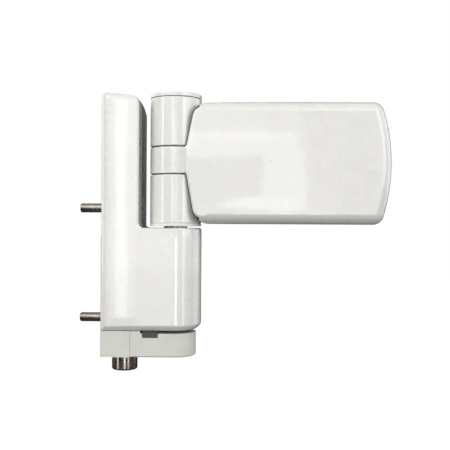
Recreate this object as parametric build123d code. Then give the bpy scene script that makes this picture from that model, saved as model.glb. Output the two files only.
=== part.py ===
from build123d import *
from math import cos, radians, sin, sqrt
import os

os.makedirs("parts", exist_ok=True)

# Flag hinge for a door, in millimetres. +Z is up and the hinge axis is vertical. X = 0 is the
# face that is fixed to the door frame, +X points to the flag, and -Y is the front.
# Z = 0 is midway between the two locating pins. The flag is drawn at a right angle to the
# frame face, half way through the door's swing.

# Barrel: the stack of round sections on the hinge axis
axis_x = 31.0              # hinge axis from the frame face
barrel_r = 11.0            # outer radius of every section
lower_sleeve_len = 20.5
upper_sleeve_len = 20.6
knuckle_len = 11.2
section_gap = 0.5          # open joint above and below the turning knuckle
sleeve_wall = 1.4
sleeve_end = 1.3           # closed end of each sleeve
section_chamfer = 0.4      # broken edge at the ends of the sections
washer_t = 1.2
washer_gap = 0.8           # open joint under the washer at the lowest height setting
cap_rim_t = 1.6
cap_dome = 0.3             # rise of the cap above its rim
cap_gap = 0.2
cap_stem_r = 2.0
cap_stem_len = 7.0

# Hinge pin, bushes and height screw
pin_r = 5.0
pin_end_z = -13.8          # lower end of the pin at the lowest setting
pin_spigot_r = 4.0         # reduced end that centres the upper sleeve
pin_chamfer = 0.6
running_gap = 0.05         # radial clearance of a turning or sliding fit
press_gap = 0.02           # radial clearance drawn for a tight fit
seat_gap = 0.1             # clearance between faces that seat on each other
hub_gap = 0.3              # radial clearance of the leaf's hub inside the sleeves
bush_wall = 1.95
bush_flange_t = 1.0
bush_len = 14.0            # length of each leaf bush inside the hub
height_screw_r = 4.0
height_screw_len = 17.0
thread_gap = 0.1           # radial clearance drawn in place of a thread
height_socket_af = 4.0
height_socket_depth = 5.0

# Frame cover, the shell over the frame side
cover_rim_x = 0.3          # open rim of the cover, just clear of the frame face
cover_wall = 1.8
cover_front_y = -11.2
leg_back_y = 15.6
leg_w = 16.3               # outer face of the upright leg from the frame face
leg_top_z = 72.4           # top of the leg at the frame face
leg_top_drop = 1.8         # fall of the leg's top across its width
leg_top_corner = 2.4
leg_rim_corner = 2.0       # top corner beside the frame face
body_top_z = 15.1          # top of the wide lower body
body_bottom_z = -28.3
body_end_r = 11.2          # round end of the body about the hinge axis
rim_lip_t = 3.1            # thicker front wall along the frame face
rim_lip_w = 4.0
lower_lip_t = 3.0          # thicker wall along the lower rim
lower_lip_h = 3.2
inner_corner_r = 2.4       # fillet between leg and body
rim_edge_r = 2.8           # round front edges beside the frame and along the leg's top
lower_edge_r = 2.7         # round lower edge

# Mounting plate, the casting that is screwed to the frame
plate_t = 3.5
plate_front_y = -7.5
plate_back_y = 13.2
plate_top_gap = 0.9        # plate below the inside of the leg's top
flange_h = 4.5             # stiffening flanges along the plate in the leg
flange_t = 2.0
foot_bottom_z = -39.5
foot_r = 9.0               # half width of the foot and its round end
foot_groove = 1.2          # groove between foot and cover
foot_joint_x = 12.6        # parting of the fixed and the sliding half of the foot
foot_joint_gap = 0.1
foot_plain_x = 17.0        # the foot closes up to the cover left of here
foot_edge_r = 0.8
rail_t = 1.9
rail_end_x = 14.0
rail_top_z = 12.0
slide_half_w = 6.0         # half width of the carrier's sliding block
slide_gap = 0.1            # clearance of the block between its rails
screw_hole_r = 2.75        # clearance hole of a 5 mm countersunk screw
countersink_r = 5.0
frame_screw_dy = 10.0      # frame screw spacing across and along the leg
frame_screw_dz = 24.0
frame_screw_z = 50.0

# Locating pins that stand out of the frame face
locating_r = 2.0
locating_len = 10.3
locating_spacing = 47.2
locating_root_r = 2.5
locating_tip = 0.8

# Lateral spindle with its eccentric lobe
spindle_x = 9.2
spindle_r = 5.5
spindle_bottom_z = -46.0
spindle_boss_wall = 1.5
spindle_tip = 0.9
spindle_socket_af = 5.0
spindle_socket_depth = 5.5
lobe_r = 3.0
lobe_offset = 2.0          # eccentricity of the lobe
lobe_rest_deg = 225.0      # direction of the lobe at the start of its quarter turn
lobe_len = 12.0
lobe_gap = 0.1
stop_pin_r = 1.0
stop_pin_z = -34.0
stop_groove_depth = 1.1

# Screws of the carrier
clamp_x = 7.5
clamp_heights = {"clamp_screw_lower": -6.0, "clamp_screw_upper": 6.0}
clamp_r = 2.0
clamp_head_r = 3.5
clamp_head_t = 2.4
clamp_len = 9.0
clamp_socket_af = 2.5
clamp_socket_depth = 1.4
lock_screw_z = -8.0
lock_screw_r = 2.0
lock_screw_len = 2.6
lock_socket_af = 2.0

# Carrier casting
boss_r = 8.0
neck_r = 7.0
carrier_bush_len = 15.0
carrier_bush_wall = 1.2
carrier_flange_r = 7.6
carrier_flange_t = 1.6

# Cover clip, seated in a notch of the foot
clip_x = 21.15
clip_w = 6.5
clip_t = 1.0
clip_drop = 1.8            # depth of the notch below the foot's top
clip_hook_h = 1.6
clip_gap = 0.1

# Flag
flag_front_y = -11.8
flag_back_y = 1.0          # mounting face on the door leaf
flag_bottom_z = 16.9
flag_top_z = 68.3
flag_end_x = 122.4         # furthest point of the curved end
flag_end_arc_r = 78.0
flag_left_x = 39.7         # slanted left edge, at the flag's top and bottom
flag_neck_x = 35.8         # slanted left edge, where it meets the knuckle
flag_root_x = 34.7         # left end of the raised front on the knuckle
flag_corner_r = 4.6        # corners at the curved end
flag_left_corner_r = 7.4   # corners beside the sleeves
flag_edge_r = 3.4
flag_root_edge_r = 1.5     # front edges of the raised root
flag_wall = 2.0
flag_rim_gap = 0.2         # rim of the flag's cover short of the mounting face
sleeve_clearance = 0.35    # flag cover to sleeves
leaf_t = 4.5
leaf_gap = 0.4             # leaf to the inside of its cover
leaf_rim_h = 3.0
leaf_rim_t = 2.0
leaf_screw_x = 79.0
leaf_screw_dx = 44.0
leaf_screw_dz = 26.0

# How far a cutting body stands out past what it cuts
over = 1.0

# Heights and radii worked out from the values above
lateral_travel = 2 * lobe_offset * abs(cos(radians(lobe_rest_deg)))
washer_z = body_top_z + washer_gap
lower_sleeve_z = washer_z + washer_t
lower_sleeve_top = lower_sleeve_z + lower_sleeve_len
knuckle_z = lower_sleeve_top + section_gap
knuckle_top = knuckle_z + knuckle_len
upper_sleeve_z = knuckle_top + section_gap
upper_sleeve_top = upper_sleeve_z + upper_sleeve_len
cap_z = upper_sleeve_top + cap_gap
sleeve_in_r = barrel_r - sleeve_wall
hub_r = sleeve_in_r - hub_gap
bush_in_r = pin_r + running_gap
bush_out_r = bush_in_r + bush_wall
hub_floor_z = lower_sleeve_z + sleeve_end + seat_gap
hub_z = hub_floor_z + bush_flange_t
hub_ceiling_z = upper_sleeve_top - sleeve_end - seat_gap
hub_top = hub_ceiling_z - bush_flange_t
pin_top_z = cap_z - seat_gap
flag_mid_z = (flag_bottom_z + flag_top_z) / 2
foot_top_z = body_bottom_z - foot_groove
slide_bottom_z = body_bottom_z + lower_lip_h + seat_gap
rail_out_y = slide_half_w + slide_gap + rail_t
plate_mid_y = (plate_front_y + plate_back_y) / 2
plate_top_z = leg_top_z - leg_top_drop - cover_wall - plate_top_gap
lobe_x = spindle_x + lobe_offset * cos(radians(lobe_rest_deg))
lobe_y = lobe_offset * sin(radians(lobe_rest_deg))
spindle_top_z = slide_bottom_z - seat_gap
spindle_boss_r = spindle_r + spindle_boss_wall


def block(x0, x1, y0, y1, z0, z1):
    """Box between two corners."""
    return Pos((x0 + x1) / 2, (y0 + y1) / 2, (z0 + z1) / 2) * Box(x1 - x0, y1 - y0, z1 - z0)


def rod(r, z0, z1, x=axis_x, y=0.0):
    """Upright cylinder, on the hinge axis unless it is placed elsewhere."""
    return Pos(x, y, (z0 + z1) / 2) * Cylinder(r, z1 - z0)


def rod_x(r, x0, x1, y, z):
    return Pos((x0 + x1) / 2, y, z) * Rot(0, 90, 0) * Cylinder(r, x1 - x0)


def rod_y(r, y0, y1, x, z):
    return Pos(x, (y0 + y1) / 2, z) * Rot(-90, 0, 0) * Cylinder(r, y1 - y0)


def slab(front, y0, y1):
    """Front outline, drawn in X and Z, made solid between two depths."""
    return extrude(Pos(0, y1, 0) * front, y1 - y0, dir=(0, -1, 0))


def prism(plan, z0, z1):
    """Plan outline, drawn in X and Y, made solid between two heights."""
    return extrude(Pos(0, 0, z0) * plan, z1 - z0)


def hexagon(across_flats, depth):
    return extrude(RegularPolygon(across_flats / 2, 6, major_radius=False), depth)


def round_edges(solid, radius, wanted):
    """Fillet the edges whose centre passes a test."""
    return fillet([e for e in solid.edges() if wanted(e)], radius)


def bevel_ends(solid, axis, size):
    """Chamfer the outer edges of the two end faces along an axis."""
    faces = solid.faces().sort_by(axis)
    edges = [face.outer_wire().edges() for face in (faces[0], faces[-1])]
    return chamfer(edges[0] + edges[1], size)


def bevel_tip(solid, axis, size):
    """Chamfer the outer edge of the end face that lies first along an axis."""
    return chamfer(solid.faces().sort_by(axis)[0].outer_wire().edges(), size)


# Frame cover

def cover_plan(inset, rim_x, rim_r=0.0):
    """Plan of leg and body together, moved inwards by an inset, with a radius at its front rim corner."""
    leg_y0, leg_y1 = cover_front_y + inset, leg_back_y - inset
    leg_x1 = leg_w - inset
    end_r = body_end_r - inset
    leg = Pos((rim_x + leg_x1) / 2, (leg_y0 + leg_y1) / 2) * Rectangle(leg_x1 - rim_x, leg_y1 - leg_y0)
    body = Pos((rim_x + axis_x) / 2, 0) * Rectangle(axis_x - rim_x, 2 * end_r)
    plan = leg + body + Pos(axis_x, 0) * Circle(end_r)
    if rim_r:
        plan = fillet([v for v in plan.vertices() if v.X < rim_x + 0.01 and v.Y < 0], rim_r)
    return plan


def cover_front(inset, rim_x, bottom_z):
    """Front outline of leg and body, moved inwards by an inset."""
    leg_x1 = leg_w - inset
    shoulder_z = body_top_z - inset
    right = axis_x + body_end_r - inset
    top_left, top_right = leg_top_z - inset, leg_top_z - leg_top_drop - inset
    outline = make_face(Polyline(
        (rim_x, bottom_z), (right, bottom_z), (right, shoulder_z), (leg_x1, shoulder_z),
        (leg_x1, top_right), (rim_x, top_left), (rim_x, bottom_z)))
    inner_corner, top_corner = (leg_x1, shoulder_z, 0), (leg_x1, top_right, 0)
    outline = fillet(outline.vertices().sort_by_distance(inner_corner)[0], inner_corner_r + inset)
    return fillet(outline.vertices().sort_by_distance(top_corner)[0], leg_top_corner - inset)


def cover_solid(inset, rim_x, bottom_z):
    front = Plane.XZ * cover_front(inset, rim_x, bottom_z)
    return slab(front, cover_front_y, leg_back_y) & prism(cover_plan(inset, rim_x), bottom_z, leg_top_z)


def make_frame_cover():
    outline = cover_front(0, cover_rim_x, body_bottom_z)
    outline = fillet(outline.vertices().sort_by_distance((cover_rim_x, leg_top_z, 0))[0], leg_rim_corner)
    outer = slab(Plane.XZ * outline, cover_front_y, leg_back_y)
    outer &= prism(cover_plan(0, cover_rim_x, rim_edge_r), body_bottom_z, leg_top_z)
    outer &= leg_crown()

    def on_lower_edge(e):
        c = e.center()
        in_front = c.Y < rim_edge_r - body_end_r or (c.X > axis_x and abs(c.Y) < body_end_r - over)
        return abs(c.Z - body_bottom_z) < 0.01 and in_front and c.X > cover_rim_x + rim_edge_r

    outer = round_edges(outer, lower_edge_r, on_lower_edge)
    hollow = cover_solid(cover_wall, rim_lip_w, body_bottom_z + lower_lip_h)
    way_in = block(-over, rim_lip_w + over, cover_front_y + rim_lip_t, leg_back_y - cover_wall,
                   body_bottom_z - over, leg_top_z - leg_top_drop - cover_wall)
    mouth_z = body_bottom_z + lower_lip_h
    mouth = prism(cover_plan(lower_lip_t, rim_lip_w), body_bottom_z - over, mouth_z + over)
    pin_hole = rod(carrier_flange_r + seat_gap, body_top_z - cover_wall - over, body_top_z + over)
    return outer - hollow - way_in - mouth - pin_hole


def leg_crown():
    """Side outline of the leg with its round upper front edge, made solid along the slope of its top."""
    width = axis_x + body_end_r
    fall = leg_top_drop / (leg_w - cover_rim_x) * width
    side = make_face(Polyline(
        (cover_front_y, body_bottom_z), (leg_back_y, body_bottom_z), (leg_back_y, leg_top_z),
        (cover_front_y, leg_top_z), (cover_front_y, body_bottom_z)))
    side = fillet(side.vertices().sort_by_distance((cover_front_y, leg_top_z, 0))[0], rim_edge_r)
    start = Pos(cover_rim_x, 0, 0) * (Plane.YZ * side)
    upper = extrude(start, sqrt(width**2 + fall**2), dir=(width, 0, -fall))
    return upper + block(cover_rim_x, width, cover_front_y, leg_back_y, body_bottom_z, body_top_z)


# Mounting plate and what is fixed in it

def frame_screw_places():
    for dy in (-frame_screw_dy / 2, frame_screw_dy / 2):
        for dz in (-frame_screw_dz / 2, frame_screw_dz / 2):
            yield plate_mid_y + dy, frame_screw_z + dz


def countersink(depth):
    """Countersunk hole along +Z, its mouth at Z = 0 and the hole below."""
    cone_h = countersink_r - screw_hole_r
    cone = Pos(0, 0, -cone_h / 2) * Cone(screw_hole_r, countersink_r, cone_h)
    return cone + Pos(0, 0, -depth / 2) * Cylinder(screw_hole_r, depth + 2 * over)


def make_mounting_plate():
    plate = block(0, plate_t, plate_front_y, plate_back_y, foot_bottom_z, plate_top_z)
    flanges_z = body_top_z - cover_wall
    for y0 in (plate_front_y, plate_back_y - flange_t):
        plate += block(0, plate_t + flange_h, y0, y0 + flange_t, flanges_z, plate_top_z)
    for side in (-1, 1):
        y0, y1 = sorted((side * (slide_half_w + slide_gap), side * rail_out_y))
        plate += block(0, rail_end_x, y0, y1, slide_bottom_z - seat_gap, rail_top_z)
    foot = block(0, foot_joint_x, -foot_r, foot_r, foot_bottom_z, body_bottom_z - seat_gap)
    foot = fillet(foot.edges().filter_by(Axis.Z).group_by(Axis.X)[0], foot_edge_r)
    foot += block(0, foot_joint_x, -rail_out_y, rail_out_y, foot_bottom_z, spindle_top_z)
    foot += rod(spindle_boss_r, foot_bottom_z, spindle_top_z, spindle_x)
    plate += foot
    plate -= rod(spindle_r + running_gap, foot_bottom_z - over, spindle_top_z + over, spindle_x)
    plate -= rod_y(stop_pin_r + press_gap, spindle_r - over, foot_r + over, spindle_x, stop_pin_z)
    for z in clamp_heights.values():
        slot = SlotCenterToCenter(lateral_travel, 2 * (clamp_r + slide_gap))
        plate -= slab(Plane.XZ * Pos(clamp_x + lateral_travel / 2, z) * slot, slide_half_w, rail_out_y + over)
    for y, z in frame_screw_places():
        plate -= Pos(plate_t, y, z) * Rot(0, 90, 0) * countersink(plate_t)
    for z in (-locating_spacing / 2, locating_spacing / 2):
        plate -= rod_x(locating_root_r + press_gap, -over, plate_t + over, 0, z)
    return plate


def make_locating_pin(z):
    shank = bevel_tip(rod_x(locating_r, -locating_len, 0, 0, z), Axis.X, locating_tip)
    return shank + rod_x(locating_root_r, 0, plate_t, 0, z)


def make_stop_pin():
    tip_y = spindle_r - stop_groove_depth + seat_gap
    return rod_y(stop_pin_r, tip_y, foot_r - seat_gap, spindle_x, stop_pin_z)


def make_lateral_spindle():
    body = bevel_tip(rod(spindle_r, spindle_bottom_z, spindle_top_z, spindle_x), Axis.Z, spindle_tip)
    half_groove = stop_pin_r + seat_gap
    groove_z0, groove_z1 = stop_pin_z - half_groove, stop_pin_z + half_groove
    groove = rod(spindle_r + over, groove_z0, groove_z1, spindle_x)
    groove -= rod(spindle_r - stop_groove_depth, groove_z0 - over, groove_z1 + over, spindle_x)
    socket = Pos(spindle_x, 0, spindle_bottom_z) * hexagon(spindle_socket_af, spindle_socket_depth)
    lobe = rod(lobe_r, spindle_top_z, spindle_top_z + lobe_len, lobe_x, lobe_y)
    return body - groove - socket + lobe


# Carrier, which slides sideways on the plate and holds the pin

def make_carrier():
    x0 = plate_t + foot_joint_gap
    top_z = body_top_z - cover_wall - foot_joint_gap
    part = block(x0, rail_end_x, -slide_half_w, slide_half_w, slide_bottom_z, rail_top_z)
    part += block(rail_end_x, axis_x, -slide_half_w, slide_half_w, slide_bottom_z, top_z)
    part += rod(boss_r, slide_bottom_z, top_z)
    neck_x0 = foot_joint_x + foot_joint_gap
    neck = block(neck_x0, axis_x, -slide_half_w, slide_half_w, foot_top_z, slide_bottom_z)
    neck += block(neck_x0, foot_plain_x, -foot_r, foot_r, foot_top_z, body_bottom_z - seat_gap)
    neck += rod(neck_r, foot_top_z, slide_bottom_z)
    plan = Pos((neck_x0 + axis_x) / 2, 0) * Rectangle(axis_x - neck_x0, 2 * foot_r)
    foot = prism(plan + Pos(axis_x, 0) * Circle(foot_r), foot_bottom_z, foot_top_z)
    foot = fillet(foot.edges().group_by(Axis.Z)[0].filter_by(GeomType.CIRCLE), foot_edge_r)
    foot -= block(clip_x - clip_w / 2 - clip_gap, clip_x + clip_w / 2 + clip_gap, -foot_r - over,
                  clip_in_y() + clip_gap, foot_top_z - clip_drop, foot_top_z + over)
    part += neck + foot
    part -= rod(spindle_boss_r + foot_joint_gap, foot_bottom_z - over, slide_bottom_z, spindle_x)
    part -= make_carrier_bores()
    return part


def make_carrier_bores():
    """Holes of the carrier: pin, bush, height screw, lobe slot, clamp and lock screws."""
    bores = rod(bush_in_r, pin_end_z, body_top_z)
    bores += rod(bush_in_r + carrier_bush_wall + press_gap, bush_seat_z(), body_top_z)
    bores += rod(height_screw_r + thread_gap, foot_bottom_z - over, pin_end_z)
    slot_r = lobe_r + lobe_gap
    slot_y0, slot_y1 = -lobe_offset, lobe_y
    slot_top = spindle_top_z + lobe_len + seat_gap
    bores += block(lobe_x - slot_r, lobe_x + slot_r, slot_y0, slot_y1, slide_bottom_z - over, slot_top)
    for y in (slot_y0, slot_y1):
        bores += rod(slot_r, slide_bottom_z - over, slot_top, lobe_x, y)
    for z in clamp_heights.values():
        bores += rod_y(clamp_r + press_gap, rail_out_y - clamp_len - over, slide_half_w + over, clamp_x, z)
    bores += rod_y(lock_screw_r + press_gap, pin_r - over, boss_r + over, axis_x, lock_screw_z)
    return bores


def bush_seat_z():
    return body_top_z - cover_wall - foot_joint_gap - carrier_bush_len


def make_carrier_bush():
    seat_z = body_top_z - cover_wall - foot_joint_gap
    bush = rod(bush_in_r + carrier_bush_wall, bush_seat_z() + seat_gap, seat_z)
    bush += rod(carrier_flange_r, seat_z, seat_z + carrier_flange_t)
    return bush - rod(bush_in_r, bush_seat_z() - over, body_top_z + over)


def make_clamp_screw(z):
    head_y = rail_out_y + seat_gap
    head = bevel_ends(rod_y(clamp_head_r, head_y, head_y + clamp_head_t, clamp_x, z), Axis.Y, section_chamfer)
    shank = rod_y(clamp_r, rail_out_y - clamp_len, head_y, clamp_x, z)
    top = Pos(clamp_x, head_y + clamp_head_t, z) * Rot(90, 0, 0)
    return head + shank - top * hexagon(clamp_socket_af, clamp_socket_depth)


def make_lock_screw():
    tip_y = pin_r + seat_gap
    screw = rod_y(lock_screw_r, tip_y, tip_y + lock_screw_len, axis_x, lock_screw_z)
    socket = Pos(axis_x, tip_y + lock_screw_len, lock_screw_z) * Rot(90, 0, 0)
    return screw - socket * hexagon(lock_socket_af, lock_screw_len / 2)


def clip_in_y():
    """Inner face of the clip, which passes inside the cover's lower rim."""
    return cover_front_y + lower_lip_t + clip_gap + clip_t


def make_cover_clip():
    x0, x1 = clip_x - clip_w / 2, clip_x + clip_w / 2
    out_y = clip_in_y() - clip_t
    z0 = foot_top_z - clip_drop + clip_gap
    hook_z = body_bottom_z + lower_lip_h + clip_gap
    clip = block(x0, x1, out_y, clip_in_y(), z0, hook_z + clip_hook_h)
    clip += block(x0, x1, -foot_r + clip_gap, clip_in_y(), z0, body_bottom_z - foot_groove / 2)
    hook_y = cover_front_y + cover_wall + clip_gap
    return clip + block(x0, x1, hook_y, clip_in_y(), hook_z, hook_z + clip_hook_h)


# Pin with the sleeves that it carries

def make_hinge_pin():
    pin = bevel_tip(rod(pin_r, pin_end_z, hub_ceiling_z), Axis.Z, pin_chamfer)
    pin += rod(pin_spigot_r, hub_ceiling_z, pin_top_z)
    return pin - rod(cap_stem_r + press_gap, pin_top_z - cap_stem_len - over, pin_top_z + over)


def make_thrust_washer():
    washer = bevel_ends(rod(barrel_r, washer_z, lower_sleeve_z), Axis.Z, section_chamfer)
    return washer - rod(pin_r + press_gap, washer_z - over, lower_sleeve_z + over)


def make_lower_sleeve():
    sleeve = bevel_ends(rod(barrel_r, lower_sleeve_z, lower_sleeve_top), Axis.Z, section_chamfer)
    sleeve -= rod(sleeve_in_r, lower_sleeve_z + sleeve_end, lower_sleeve_top + over)
    return sleeve - rod(pin_r + press_gap, lower_sleeve_z - over, lower_sleeve_top)


def make_upper_sleeve():
    sleeve = bevel_ends(rod(barrel_r, upper_sleeve_z, upper_sleeve_top), Axis.Z, section_chamfer)
    sleeve -= rod(sleeve_in_r, upper_sleeve_z - over, upper_sleeve_top - sleeve_end)
    return sleeve - rod(pin_spigot_r + press_gap, upper_sleeve_z, upper_sleeve_top + over)


def make_top_cap():
    """Round cap with a shallow spherical top and a stem pressed into the pin."""
    dome_r = (barrel_r**2 + cap_dome**2) / (2 * cap_dome)
    rim_z = cap_z + cap_rim_t
    cap = rod(barrel_r, cap_z, rim_z + cap_dome)
    cap &= Pos(axis_x, 0, rim_z + cap_dome - dome_r) * Sphere(dome_r)
    return cap + rod(cap_stem_r, cap_z - cap_stem_len, cap_z)


def make_height_screw():
    top_z = pin_end_z - running_gap
    screw = bevel_ends(rod(height_screw_r, top_z - height_screw_len, top_z), Axis.Z, pin_chamfer)
    return screw - Pos(axis_x, 0, top_z - height_screw_len) * hexagon(height_socket_af, height_socket_depth)


# Flag: leaf casting, its two bushes and its cover

def flag_front(inset, neck_x, left_x, left_r):
    """Front outline of the flag, moved inwards by an inset. Its left edge runs from neck_x beside the
    knuckle to left_x at top and bottom, where the corners have the radius left_r."""
    top, bottom = flag_top_z - inset, flag_bottom_z + inset
    end_r = flag_end_arc_r - inset
    centre_x = flag_end_x - flag_end_arc_r
    corner_x = centre_x + sqrt(end_r**2 - (top - flag_mid_z)**2)
    sides = Polyline(
        (corner_x, bottom), (left_x, bottom), (neck_x, knuckle_z), (neck_x, knuckle_top),
        (left_x, top), (corner_x, top))
    end = ThreePointArc((corner_x, top), (centre_x + end_r, flag_mid_z), (corner_x, bottom))
    outline = make_face([*sides.edges(), end])
    for x, r in ((left_x, left_r), (corner_x, flag_corner_r - inset)):
        ends = [v for v in outline.vertices() if abs(v.Y - flag_mid_z) > knuckle_len]
        outline = fillet([v for v in ends if abs(v.X - x) < 0.01], r)
    return Plane.XZ * outline


def flag_inside(inset, left_x):
    """Front outline of what lies inside the flag's cover, with an upright left edge."""
    return flag_front(inset, left_x, left_x, flag_corner_r - inset)


def make_flag_leaf():
    inset = flag_wall + leaf_gap
    left_x = axis_x + barrel_r + sleeve_clearance + flag_wall
    leaf_front_y = flag_back_y - leaf_t
    front = flag_inside(inset, left_x)
    leaf = slab(front, leaf_front_y, flag_back_y)
    rim = slab(front, leaf_front_y - leaf_rim_h, leaf_front_y)
    rim -= slab(flag_inside(inset + leaf_rim_t, left_x + leaf_rim_t), leaf_front_y - leaf_rim_h - over,
                leaf_front_y + over)
    z0, z1 = knuckle_z + section_gap / 2, knuckle_top - section_gap / 2
    neck = block(axis_x, left_x + leaf_rim_t, leaf_front_y - leaf_rim_h, flag_back_y, z0, z1)
    knuckle = bevel_ends(rod(barrel_r, knuckle_z, knuckle_top), Axis.Z, section_chamfer)
    knuckle -= block(axis_x - 2 * barrel_r, axis_x + 2 * barrel_r, -2 * barrel_r, 0, hub_z, hub_top)
    leaf += rim + neck + knuckle + rod(hub_r, hub_z, hub_top)
    leaf -= rod(bush_in_r + running_gap, hub_z - over, hub_top + over)
    for z0, z1 in ((hub_z - over, hub_z + bush_len), (hub_top - bush_len, hub_top + over)):
        leaf -= rod(bush_out_r + press_gap, z0, z1)
    for dx in (-leaf_screw_dx / 2, leaf_screw_dx / 2):
        for dz in (-leaf_screw_dz / 2, leaf_screw_dz / 2):
            hole = Rot(90, 0, 0) * countersink(leaf_t)
            leaf -= Pos(leaf_screw_x + dx, leaf_front_y, flag_mid_z + dz) * hole
    return leaf


def make_leaf_bush(flange_z, sleeve_z0, sleeve_z1):
    bush = rod(hub_r, flange_z, flange_z + bush_flange_t) + rod(bush_out_r, sleeve_z0, sleeve_z1)
    return bush - rod(bush_in_r, hub_floor_z - over, hub_ceiling_z + over)


def make_flag_cover():
    """Shell of the flag, one piece with its raised root and the front half of the knuckle."""
    rim_y = flag_back_y - flag_rim_gap
    flag = slab(flag_front(0, flag_neck_x, flag_left_x, flag_left_corner_r), flag_front_y, rim_y)
    flag = fillet(flag.faces().sort_by(Axis.Y)[0].edges(), flag_edge_r)
    root = block(flag_root_x, flag_left_x, flag_front_y, 0, knuckle_z, knuckle_top)
    root_front = root.faces().sort_by(Axis.Y)[0]
    root = fillet(root_front.edges().sort_by(Axis.X)[:-1], flag_root_edge_r)
    knuckle = bevel_ends(rod(barrel_r, knuckle_z, knuckle_top), Axis.Z, section_chamfer)
    far = 2 * barrel_r
    sleeve_space_r = barrel_r + sleeve_clearance
    for z0, z1 in ((flag_bottom_z - over, knuckle_z), (knuckle_top, flag_top_z + over)):
        flag -= rod(sleeve_space_r, z0, z1)
    cover = flag + root + knuckle
    in_x = axis_x + sleeve_space_r + flag_wall - leaf_gap
    cover -= slab(flag_inside(flag_wall, in_x), flag_front_y + flag_wall, rim_y + over)
    cover -= rod(hub_r + seat_gap, knuckle_z - over, knuckle_top + over)
    cover -= block(axis_x - far, in_x + leaf_gap, -seat_gap, far, knuckle_z - over, knuckle_top + over)
    neck_front_y = flag_back_y - leaf_t - leaf_rim_h - leaf_gap
    return cover - block(axis_x, in_x + leaf_gap, neck_front_y, far, knuckle_z, knuckle_top)


def save(name, shape):
    export_step(shape, f"parts/{name}.step")


save("frame_cover", make_frame_cover())
save("mounting_plate", make_mounting_plate())
save("locating_pin_lower", make_locating_pin(-locating_spacing / 2))
save("locating_pin_upper", make_locating_pin(locating_spacing / 2))
save("spindle_stop_pin", make_stop_pin())
save("lateral_spindle", make_lateral_spindle())
save("carrier", make_carrier())
save("carrier_bush", make_carrier_bush())
for name, height in clamp_heights.items():
    save(name, make_clamp_screw(height))
save("pin_lock_screw", make_lock_screw())
save("cover_clip", make_cover_clip())
save("hinge_pin", make_hinge_pin())
save("thrust_washer", make_thrust_washer())
save("lower_sleeve", make_lower_sleeve())
save("upper_sleeve", make_upper_sleeve())
save("top_cap", make_top_cap())
save("height_screw", make_height_screw())
save("flag_leaf", make_flag_leaf())
save("lower_leaf_bush", make_leaf_bush(hub_floor_z, hub_z, hub_z + bush_len - seat_gap))
save("upper_leaf_bush", make_leaf_bush(hub_top, hub_top - bush_len + seat_gap, hub_top))
save("flag_cover", make_flag_cover())
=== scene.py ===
"""Dressed model of a flag hinge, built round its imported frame, with a plain studio.

Lengths are in metres. X runs from the frame face to the flag, -Y is the front and Z is up.
"""

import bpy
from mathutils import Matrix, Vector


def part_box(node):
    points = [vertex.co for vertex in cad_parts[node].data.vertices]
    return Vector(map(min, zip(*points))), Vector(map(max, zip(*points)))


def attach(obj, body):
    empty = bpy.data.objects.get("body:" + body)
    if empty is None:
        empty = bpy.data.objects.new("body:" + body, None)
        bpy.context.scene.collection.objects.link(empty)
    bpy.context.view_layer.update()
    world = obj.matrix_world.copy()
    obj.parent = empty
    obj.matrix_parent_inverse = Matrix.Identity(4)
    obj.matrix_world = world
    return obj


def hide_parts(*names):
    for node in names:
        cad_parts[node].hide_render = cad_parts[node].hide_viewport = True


bl_info = {
    "name": "Flag Hinge",
    "version": (1, 0, 0),
    "blender": (4, 5, 0),
    "location": "3D View > Sidebar > Flag Hinge",
    "description": "Builds the covers, the barrel, the pins, the finishes and the studio of a flag hinge",
    "category": "Object",
}

from math import asin, atan2, cos, hypot, pi, radians, sin, tan, tau

import bmesh
import bpy
from bpy.props import FloatProperty, FloatVectorProperty, IntProperty, PointerProperty
from bpy.types import Operator, Panel, PropertyGroup
from mathutils import Matrix, Vector

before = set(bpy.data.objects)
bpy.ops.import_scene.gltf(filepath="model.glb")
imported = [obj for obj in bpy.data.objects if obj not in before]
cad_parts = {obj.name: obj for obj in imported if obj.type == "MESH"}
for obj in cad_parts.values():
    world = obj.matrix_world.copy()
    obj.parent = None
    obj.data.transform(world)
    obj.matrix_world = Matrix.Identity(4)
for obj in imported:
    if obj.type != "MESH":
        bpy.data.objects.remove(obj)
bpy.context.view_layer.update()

MM = 0.001
COVER_LOW, COVER_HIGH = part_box("frame_cover")
AXIS_X = COVER_HIGH.x + COVER_LOW.y
BARREL_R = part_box("lower_sleeve")[1].x - AXIS_X
WELD = 1e-6               # points closer than this are one
PAST = 1.0 * MM           # how far a cutting body stands out past what it cuts
TIGHT = 0.02 * MM         # radial clearance of a tight fit


# Settings

def length(name, description, default):
    """A length in metres that a user can change."""
    return FloatProperty(name=name, description=description, default=default, min=0.0, unit="LENGTH",
                         subtype="DISTANCE", precision=5)


def colour(name, description, default):
    return FloatVectorProperty(name=name, description=description, default=default, size=3, min=0.0, max=1.0,
                               subtype="COLOR")


def light(name, description, default):
    return FloatProperty(name=name, description=description, default=default, min=0.0)


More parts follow.
